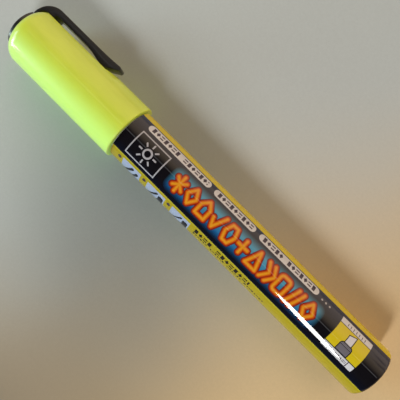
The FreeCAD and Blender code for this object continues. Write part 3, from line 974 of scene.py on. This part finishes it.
class Workpiece:
    """A mesh that is shaped in edit mode with Blender's own operators."""

    SAME_PLACE = 0.01
    DOUBLES = 0.002

    def __init__(self, name: str, add: Callable, **settings: object) -> None:
        """Adds a primitive with nothing else selected, and opens it in edit mode.

        Args:
            name: the piece's name.
            add: the operator that adds the primitive.
            settings: the operator's settings.
        """
        bpy.ops.object.select_all(action="DESELECT")
        add(**settings)
        self.thing = bpy.context.active_object
        self.thing.name = name
        self.thing.data.name = name
        bpy.ops.object.transform_apply(location=True, rotation=True, scale=True)
        bpy.ops.object.mode_set(mode="EDIT")

    def pick(self, kind: Element, test: Callable[[Vector, Vector], bool]) -> None:
        """Selects vertices or faces by place.

        Args:
            kind: what is selected.
            test: is given the middle, in millimetres, and the normal.
        """
        bpy.ops.mesh.select_mode(type=kind.value)
        bpy.ops.mesh.select_all(action="DESELECT")
        mesh = bmesh.from_edit_mesh(self.thing.data)
        mesh.normal_update()
        if kind is Element.VERT:
            for vert in mesh.verts:
                vert.select_set(test(vert.co / MM, vert.normal))
        else:
            for face in mesh.faces:
                face.select_set(test(face.calc_center_median() / MM, face.normal))
        mesh.select_flush_mode()
        bmesh.update_edit_mesh(self.thing.data)

    def draw(self, points: Sequence[Point]) -> None:
        """Draws a flat outline in the X-Y plane, point by point, and fills it.

        Args:
            points: the corners in turn, in millimetres.
        """
        bpy.ops.mesh.select_all(action="SELECT")
        bpy.ops.mesh.merge(type="CENTER")
        here = Vector((0.0, 0.0, 0.0))
        for number, point in enumerate(points):
            there = Vector((*point, 0.0)) * MM
            if number:
                bpy.ops.mesh.extrude_vertices_move(
                    TRANSFORM_OT_translate={"value": there - here})
            else:
                bpy.ops.transform.translate(value=there)
            here = there
        bpy.ops.mesh.select_all(action="SELECT")
        bpy.ops.mesh.edge_face_add()

    def round_corner(self, point: Point, offset: float, steps: int) -> None:
        """Rounds one corner of a flat outline.

        Args:
            point: the corner, in millimetres.
            offset: how far before the corner the round starts, in millimetres.
            steps: the number of straight steps in the round.
        """
        place = Vector((*point, 0.0))
        self.pick(Element.VERT, lambda middle, _: (middle - place).length < self.SAME_PLACE)
        bpy.ops.mesh.bevel(affect="VERTICES", offset=offset * MM, segments=steps,
                           profile=0.5)

    def modify(self, kind: str, **settings: object) -> None:
        """Adds a modifier in object mode and applies it, then goes back to edit mode.

        Args:
            kind: the modifier's type.
            settings: its settings.
        """
        bpy.ops.object.mode_set(mode="OBJECT")
        modifier = self.thing.modifiers.new(kind.title(), kind)
        for key, value in settings.items():
            setattr(modifier, key, value)
        bpy.ops.object.modifier_apply(modifier=modifier.name)
        bpy.ops.object.mode_set(mode="EDIT")

    def close(self, smooth_angle: float = 35.0) -> bpy.types.Object:
        """Turns every face outward and smooths the shading.

        Args:
            smooth_angle: edges sharper than this, in degrees, stay sharp.

        Returns:
            The finished mesh.
        """
        bpy.ops.mesh.select_all(action="SELECT")
        bpy.ops.mesh.remove_doubles(threshold=self.DOUBLES * MM)
        bpy.ops.mesh.normals_make_consistent(inside=False)
        bpy.ops.object.mode_set(mode="OBJECT")
        bpy.ops.object.shade_smooth_by_angle(angle=math.radians(smooth_angle))
        return self.thing


@dataclass
class Assembly:
    """A group of the pen's pieces that are built and dressed together."""

    body: str

    def dress(self, node: str, material: bpy.types.Material) -> None:
        """Gives a carried-over node its finish.

        Args:
            node: the node.
            material: its finish.
        """
        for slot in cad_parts[node].material_slots:
            slot.material = material
        LOG.info("%s: dressed in %s", node, material.name)

    def place(self, piece: bpy.types.Object, node: str, slot: str,
              material: bpy.types.Material) -> None:
        """Finishes a new piece that stands for a node of the frame.

        Args:
            piece: the finished mesh.
            node: the node it stands for.
            slot: the name of its material slot; it is not used.
            material: its finish.
        """
        piece.data.materials.clear()
        piece.data.materials.append(material)
        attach(piece, self.body)
        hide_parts(node)
        LOG.info("%s: built for %s, %d faces", piece.name, node, len(piece.data.polygons))


# --- Sub-assemblies --------------------------------------------------------------------------

@dataclass
class Cap(Assembly):
    """The yellow cap with its sealing cup and the black disc on its closed end."""

    body: str = "cap"
    # The yellow carries painted light: a greener, brighter side towards the windows and a painted
    # glow as emission.
    yellow: MouldedPlastic = MouldedPlastic(
        "fluorescent_plastic_painted_light", (0.66, 0.78, 0.07), (0.58, 0.70, 0.045), roughness=0.40,
        coat=0.8, depth=0.25, glow=0.08, painted_lit_side=(0.60, 0.94, 0.17))

    def build(self, black: bpy.types.Material, milky: bpy.types.Material) -> None:
        """Dresses the cap.

        Args:
            black: the finish of the disc.
            milky: the finish of the sealing cup.
        """
        self.dress("cap_shell", self.yellow.build())
        self.dress("inner_cap", milky)
        self.dress("crown", black)


@dataclass
class Clip(Assembly):
    """The pocket clip: a bent strip with a crescent foot and a rounded pad at its tip.

    Sizes are in millimetres. arm and reach are the depths of the strip and of its foot and pad,
    edge is the round along its edges, and the places of the pad are measured back from the tip.
    """

    body: str = "clip"
    edge: float = 0.42
    arm: float = 2.04
    flare: float = 0.35
    reach: float = 3.12
    neck: float = 0.88
    foot_top: float = 5.7
    foot_end: float = 5.3
    flare_back: float = 5.35
    lip_back: float = 0.35
    lip_drop: float = 1.05
    pad_front: float = 4.3
    pad_back: float = 6.4
    ramp_back: float = 11.35
    taper_from: float = 6.0
    taper_end: float = 31.65
    tip_share: float = 4.7 / 6.2

    def build(self, black: bpy.types.Material) -> None:
        """Builds the moulding in place of the plain one.

        Args:
            black: its finish.
        """
        low, high = (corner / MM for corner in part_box("clip"))
        part = Workpiece("pocket_clip", bpy.ops.mesh.primitive_plane_add, size=MM)
        self._profile(part, low, high)
        bpy.ops.mesh.select_all(action="SELECT")
        bpy.ops.transform.translate(value=(0.0, 0.0, low.z * MM))
        bpy.ops.mesh.extrude_region_move(
            TRANSFORM_OT_translate={"value": (0.0, 0.0, (high.z - low.z) * MM)})
        bpy.ops.mesh.select_all(action="SELECT")
        bpy.ops.mesh.bisect(plane_co=(self.taper_from * MM, 0.0, 0.0), plane_no=X_AXIS)
        self._taper(part)
        part.pick(Element.FACE, lambda _, normal: abs(normal.z) > 0.99)
        bpy.ops.mesh.region_to_loop()
        bpy.ops.mesh.bevel(affect="EDGES", offset=self.edge * MM, segments=4, profile=0.5,
                           clamp_overlap=True)
        self.place(part.close(40.0), "clip", "black_plastic", black)

    def _profile(self, part: Workpiece, low: Vector, high: Vector) -> None:
        """Draws the clip's outline as it is seen from its edge, and rounds its corners.

        Args:
            part: the new mesh.
            low: the low corner of the clip's box, in millimetres.
            high: the high corner.
        """
        tip = high.x
        top = high.y - self.flare
        under = top - self.arm
        land = top - self.reach
        root = (0.0, top)
        flare = (tip - self.flare_back, top)
        lip = (tip - self.lip_back, high.y)
        nose = (tip, high.y - self.lip_drop)
        pad_front = (tip - self.pad_front, land)
        pad_back = (tip - self.pad_back, land)
        ramp = (tip - self.ramp_back, under)
        foot_top = (self.foot_top, under)
        foot_end = (self.foot_end, land)
        neck = (self.neck, land)
        part.draw([(0.0, low.y), root, flare, lip, nose, pad_front, pad_back, ramp, foot_top,
                   foot_end, neck, (self.neck, low.y)])
        rounds = [
            (root, 6.0, 18), (neck, 2.4, 10), (foot_top, 0.35, 5), (foot_end, 0.12, 3),
            (ramp, 2.0, 6), (flare, 2.4, 6), (pad_front, 0.9, 6), (pad_back, 0.8, 6),
            (lip, 0.5, 5), (nose, 0.5, 5)]
        for corner, offset, steps in rounds:
            part.round_corner(corner, offset, steps)

    def _taper(self, part: Workpiece) -> None:
        """Narrows the strip evenly from its foot to its tip.

        Args:
            part: the thickened strip.
        """
        near = 0.0001
        mesh = bmesh.from_edit_mesh(part.thing.data)
        stations = sorted({round(vert.co.x / MM, 4) for vert in mesh.verts
                           if vert.co.x > self.taper_from * MM})
        for station in stations:
            share = (station - self.taper_from) / (self.taper_end - self.taper_from)
            width = 1.0 + (self.tip_share - 1.0) * share
            part.pick(Element.VERT, lambda middle, _: abs(middle.x - station) < near)
            bpy.ops.transform.resize(value=(1.0, 1.0, width), center_override=(0, 0, 0))


@dataclass
class Barrel(Assembly):
    """The barrel with its printed film and its tail stopper."""

    body: str = "barrel"
    white: MouldedPlastic = MouldedPlastic(
        "white_plastic", (0.80, 0.80, 0.78), (0.74, 0.74, 0.71), depth=0.2)
    tail_black: MouldedPlastic = MouldedPlastic(
        "tail_black", (0.014, 0.014, 0.015), (0.022, 0.022, 0.023), roughness=0.4)

    def build(self, rubber: bpy.types.Material) -> None:
        """Dresses the barrel and its film.

        Args:
            rubber: the finish of the tail's seal.
        """
        _, high = (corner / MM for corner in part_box("label_sleeve"))
        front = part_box("barrel")[0].x / MM
        film = PrintedSleeve("printed_film", front, high.x - front, high.z)
        self.dress("label_sleeve", film.build())
        self.dress("barrel", self.white.build())
        self.dress("tail_plug", self.tail_black.build())
        self.dress("tail_seal", rubber)


@dataclass
class Front(Assembly):
    """The grey front holder with its bush and the pressed nib.

    The ink on the nib fades out between wet_end and dry_start, in millimetres from its tip.
    """

    body: str = "barrel"
    grey: MouldedPlastic = MouldedPlastic(
        "collar_grey", (0.30, 0.30, 0.31), (0.26, 0.26, 0.27), roughness=0.34)
    fibre: Colour = (0.84, 0.83, 0.78)
    ink: Colour = (0.70, 0.90, 0.07)
    wet_end: float = 2.0
    dry_start: float = 6.5

    def build(self, milky: bpy.types.Material, rubber: bpy.types.Material) -> None:
        """Dresses the front.

        Args:
            milky: the finish of the bush.
            rubber: the finish of the collar's seal.
        """
        self.dress("collar", self.grey.build())
        self.dress("collar_seal", rubber)
        self.dress("nib_guide", milky)
        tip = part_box("nib")[0].x / MM
        felt = PressedFelt("nib_felt", self.fibre, self.ink, tip + self.wet_end,
                           tip + self.dry_start)
        self.dress("nib", felt.build())


@dataclass
class Valve(Assembly):
    """The ink valve: seat, cage, stem and coil spring.

    Sizes are in millimetres. travel is the nib's stroke and a little slack; it is not used.
    """

    body: str = "barrel"
    wire: float = 0.5
    turns: int = 6
    travel: float = 2.03
    wire_sides: int = 12
    turn_steps: int = 32
    steel: Metal = Metal("spring_steel", (0.60, 0.59, 0.56), 0.22, (0.3, 1.0, 1.0))

    def build(self, milky: bpy.types.Material, rubber: bpy.types.Material) -> None:
        """Dresses the valve and winds its spring.

        Args:
            milky: the finish of the plastic parts.
            rubber: the finish of the seat.
        """
        for node in ("valve_cage", "valve_cap", "valve_stem"):
            self.dress(node, milky)
        self.dress("valve_seat", rubber)
        low, high = (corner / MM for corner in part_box("valve_spring"))
        spring = self._wind(low, high)
        self.place(spring, "valve_spring", "spring_steel", self.steel.build())
        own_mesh(spring)

    def _wind(self, low: Vector, high: Vector) -> bpy.types.Object:
        """Winds the coil by screwing the wire's section round the pen's axis.

        Args:
            low: the low corner of the spring's box, in millimetres.
            high: the high corner.

        Returns:
            The finished coil.
        """
        half = self.wire / 2
        pitch = (high.x - low.x - self.wire) / self.turns
        part = Workpiece(
            "valve_coil_spring", bpy.ops.mesh.primitive_circle_add, vertices=self.wire_sides,
            radius=half * MM, fill_type="NOTHING",
            location=((low.x + half) * MM, (high.z - half) * MM, 0.0))
        part.modify("SCREW", axis="X", angle=math.tau, screw_offset=pitch * MM,
                    iterations=self.turns, steps=self.turn_steps, render_steps=self.turn_steps,
                    use_normal_calculate=True)
        bpy.ops.mesh.select_all(action="SELECT")
        bpy.ops.mesh.fill_holes(sides=0)
        return part.close(50.0)


@dataclass
class MixingBall(Assembly):
    """The steel ball that stirs the ink."""

    body: str = "ball"
    steel: Metal = Metal("ball_steel", (0.66, 0.66, 0.67), 0.10)

    def build(self) -> None:
        """Dresses the ball."""
        self.dress("mixing_ball", self.steel.build())


# --- Studio ----------------------------------------------------------------------------------

class LampShape(Enum):
    """The outlines that a lamp can have, as Blender names them."""

    RECTANGLE = "RECTANGLE"
    ELLIPSE = "ELLIPSE"


@dataclass
class Lamp:
    """A flat studio light that shines at one point. Places and sizes are in metres."""

    name: str
    place: Place
    aim: Place
    size: Point
    radiance: float
    colour: Colour = WHITE
    shape: LampShape = LampShape.RECTANGLE
    roll: float = 0.0

    def area(self) -> float:
        """The lamp's area in square metres."""
        share = math.pi / 4 if self.shape is LampShape.ELLIPSE else 1.0
        return self.size[0] * self.size[1] * share

    def build(self) -> None:
        """Adds the light. Its power follows from its radiance and its size."""
        light = bpy.data.lights.new(self.name, "AREA")
        light.shape = self.shape.value
        light.size, light.size_y = self.size
        light.energy = self.radiance * self.area() * math.pi
        light.color = self.colour
        holder = bpy.data.objects.new(self.name, light)
        bpy.context.scene.collection.objects.link(holder)
        look = (Vector(self.aim) - Vector(self.place)).to_track_quat("-Z", "Y")
        holder.matrix_world = (Matrix.Translation(self.place) @ look.to_matrix().to_4x4()
                               @ Matrix.Rotation(math.radians(self.roll), 4, "Z"))
        holder.visible_camera = False


@dataclass
class Studio:
    """Pale table, soft lights and the camera.

    Places are in metres and angles in degrees. The spans and wall_rise give where, on a sphere
    of radius 1 round the pen, a colour of the sky starts to show and where it is full.
    """

    camera_place: Place = (0.08371, 0.00064, 0.14326)
    camera_tilt: float = 4.25
    camera_roll: float = 44.87
    lens: float = 45.0
    sensor: float = 36.0
    nearest_seen: float = 0.01
    table_side: float = 1.6
    table_middle: float = 0.4
    middle: Place = (0.08, 0.0, 0.0)
    night: Colour = (0.022, 0.024, 0.030)
    horizon: Colour = (0.40, 0.41, 0.43)
    warm_wall: Colour = (1.20, 0.93, 0.66)
    horizon_span: Point = (0.22, 0.04)
    wall_span: Point = (0.02, 0.62)
    wall_rise: Point = (-0.05, 0.1)

    def build(self) -> None:
        """Builds everything round the pen."""
        self._table()
        self._sky()
        self._camera()
        for lamp in self._lamps():
            lamp.build()
        bpy.context.scene.view_settings.view_transform = "Standard"

    def _table(self) -> None:
        """The table touches the cap's rim and the tail."""
        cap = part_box("cap_shell")
        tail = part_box("label_sleeve")
        rim = Vector((cap[1].x, 0.0, cap[0].z))
        heel = Vector((tail[1].x, 0.0, tail[0].z))
        run = heel - rim
        tilt = -math.atan2(run.z, run.x)
        part = Workpiece("table_top", bpy.ops.mesh.primitive_plane_add, size=self.table_side,
                         location=rim + run * self.table_middle, rotation=(0.0, tilt, 0.0))
        table = part.close()
        table.data.materials.append(TableTop("table_speckle_and_painted_light").build())

    def _sky(self) -> None:
        """A dark sky with a pale horizon and a warm glow that grows towards the clip's side."""
        world = bpy.data.worlds.new("studio_sky")
        bpy.context.scene.world = world
        graph = Graph(world, Coordinates.GENERATED)
        _, across, up = graph.parts(graph.place)
        horizon = up.eased(*self.horizon_span)
        wall = across.eased(*self.wall_span) * up.eased(*self.wall_rise)
        dim = graph.mix(horizon, self.night, self.horizon)
        glow = graph.mix(wall, dim, self.warm_wall)
        sky = graph.node("ShaderNodeBackground", None, {"Color": glow})
        graph.node("ShaderNodeOutputWorld", None, {"Surface": sky.outputs[0]})

    def _camera(self) -> None:
        """The camera looks almost straight down, with the pen from corner to corner."""
        data = bpy.data.cameras.new("camera")
        data.lens = self.lens
        data.sensor_width = self.sensor
        data.clip_start = self.nearest_seen
        camera = bpy.data.objects.new("camera", data)
        bpy.context.scene.collection.objects.link(camera)
        turn = (Matrix.Rotation(math.radians(self.camera_tilt), 4, "Y")
                @ Matrix.Rotation(math.radians(self.camera_roll), 4, "Z"))
        camera.matrix_world = Matrix.Translation(self.camera_place) @ turn
        bpy.context.scene.camera = camera

    def _lamps(self) -> list[Lamp]:
        """The lights: two windows, a small lamp and one thin strip under the ceiling.

        Returns:
            The lamps, not yet in the scene.
        """
        return [
            Lamp("window", place=(-0.95, -0.66, 0.42), aim=self.middle, size=(0.62, 0.5),
                 radiance=5.0, colour=(0.62, 0.86, 1.0)),
            Lamp("low_window", place=(-0.80, -0.90, 0.15), aim=self.middle, size=(0.50, 0.28),
                 radiance=17.0, colour=(0.80, 1.0, 0.97)),
            Lamp("small_lamp", place=(0.262, -0.395, 0.435), aim=(0.12, 0.0, 0.0),
                 size=(0.106, 0.193), radiance=38.0, colour=(1.0, 0.97, 0.92),
                 shape=LampShape.ELLIPSE, roll=7.0),
            Lamp("strip", place=(0.08, 0.063, 0.9), aim=(0.08, 0.063, 0.0), size=(1.2, 0.05),
                 radiance=1.2),
        ]


def main() -> None:
    """Builds and dresses the pen from the cap to the tail, then the studio."""
    logging.basicConfig(level=logging.INFO, format="%(name)s: %(message)s")
    black = MouldedPlastic("black_plastic", (0.010, 0.010, 0.011), (0.016, 0.016, 0.018),
                           roughness=0.30, coat=0.2).build()
    milky = MouldedPlastic("milky_plastic", (0.80, 0.80, 0.75), (0.74, 0.74, 0.68),
                           depth=0.3).build()
    rubber = Rubber("rubber", (0.018, 0.018, 0.019)).build()
    Cap().build(black, milky)
    Clip().build(black)
    Barrel().build(rubber)
    Front().build(milky, rubber)
    Valve().build(milky, rubber)
    MixingBall().build()
    Studio().build()


if __name__ == "__main__":
    main()
